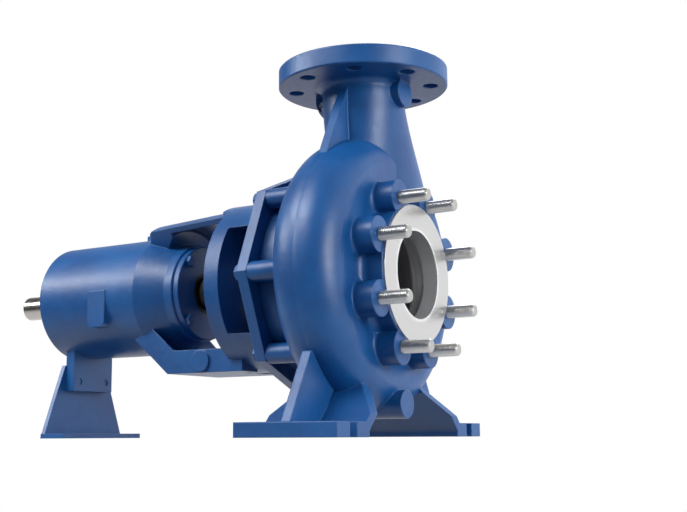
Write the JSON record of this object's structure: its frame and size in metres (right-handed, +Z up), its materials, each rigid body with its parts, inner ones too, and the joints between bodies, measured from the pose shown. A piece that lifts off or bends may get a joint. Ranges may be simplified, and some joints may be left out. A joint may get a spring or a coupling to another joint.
{
  "type": "vortex centrifugal pump",
  "caption": "End-suction vortex pump with bare shaft end: footed scroll casing, top discharge flange, studded suction, open lantern, bearing bracket and rear support foot.",
  "frame": {"origin": "on the floor, straight below the shaft and on the axis of the discharge branch, in the middle of the four foot slots", "axes": "+X along the shaft towards the suction side, +Z up along the discharge, near side of the picture at -Y"},
  "size_m": [0.64, 0.345, 0.43],
  "materials": {
    "blue_paint": "satin machine enamel on castings",
    "stud_steel": "bright turned studs",
    "turned_steel": "turned and ground",
    "bearing_steel": "ground",
    "cast_iron": "as cast",
    "seal_rubber": "matt",
    "seal_ring": "lapped dark ring",
    "black_plug": "matt black"
  },
  "bodies": {
    "pump_frame": {"volute_casing": "blue_paint", "lantern": "blue_paint", "bearing_bracket": "blue_paint", "casing_cover": "blue_paint", "seal_cover": "blue_paint", "lantern_bolts": "blue_paint", "bracket_screws": "blue_paint", "seal_cover_screws": "blue_paint", "bearing_cover_pump_end": "blue_paint", "bearing_cover_drive_end": "blue_paint", "bearing_cover_screws_pump_end": "blue_paint", "bearing_cover_screws_drive_end": "blue_paint", "support_foot": "blue_paint", "support_bolts": "blue_paint", "suction_studs": "stud_steel", "bearing_outer_ring_pump_end": "bearing_steel", "lip_seal_pump_end": "seal_rubber", "bearing_outer_ring_drive_end": "bearing_steel", "lip_seal_drive_end": "seal_rubber", "casing_gasket": "seal_rubber", "seal_seat": "seal_ring", "breather_plug": "black_plug"},
    "rotor": {"shaft": "turned_steel", "lock_nut": "turned_steel", "deflector": "turned_steel", "shaft_sleeve": "turned_steel", "seal_collar": "turned_steel", "seal_spring": "turned_steel", "seal_face": "seal_ring", "impeller": "cast_iron", "impeller_key": "turned_steel", "impeller_screw": "turned_steel", "bearing_inner_ring_pump_end": "bearing_steel", "bearing_inner_ring_drive_end": "bearing_steel"},
    "balls_pump_end": {"ball_set_pump_end": "bearing_steel"},
    "balls_drive_end": {"ball_set_drive_end": "bearing_steel"}
  },
  "joints": [
    {"name": "shaft_spin", "type": "hinge", "parent": "pump_frame", "child": "rotor", "pos_m": [-0.2, 0, 0.18], "axis": [1, 0, 0], "continuous": true},
    {"name": "balls_pump_end_roll", "type": "hinge", "parent": "pump_frame", "child": "balls_pump_end", "pos_m": [-0.2545, 0, 0.18], "axis": [1, 0, 0], "continuous": true},
    {"name": "balls_drive_end_roll", "type": "hinge", "parent": "pump_frame", "child": "balls_drive_end", "pos_m": [-0.4265, 0, 0.18], "axis": [1, 0, 0], "continuous": true}
  ],
  "couplings": [
    {"joint": "balls_pump_end_roll", "follows": "shaft_spin", "ratio": 0.4023},
    {"joint": "balls_drive_end_roll", "follows": "shaft_spin", "ratio": 0.4023}
  ]
}
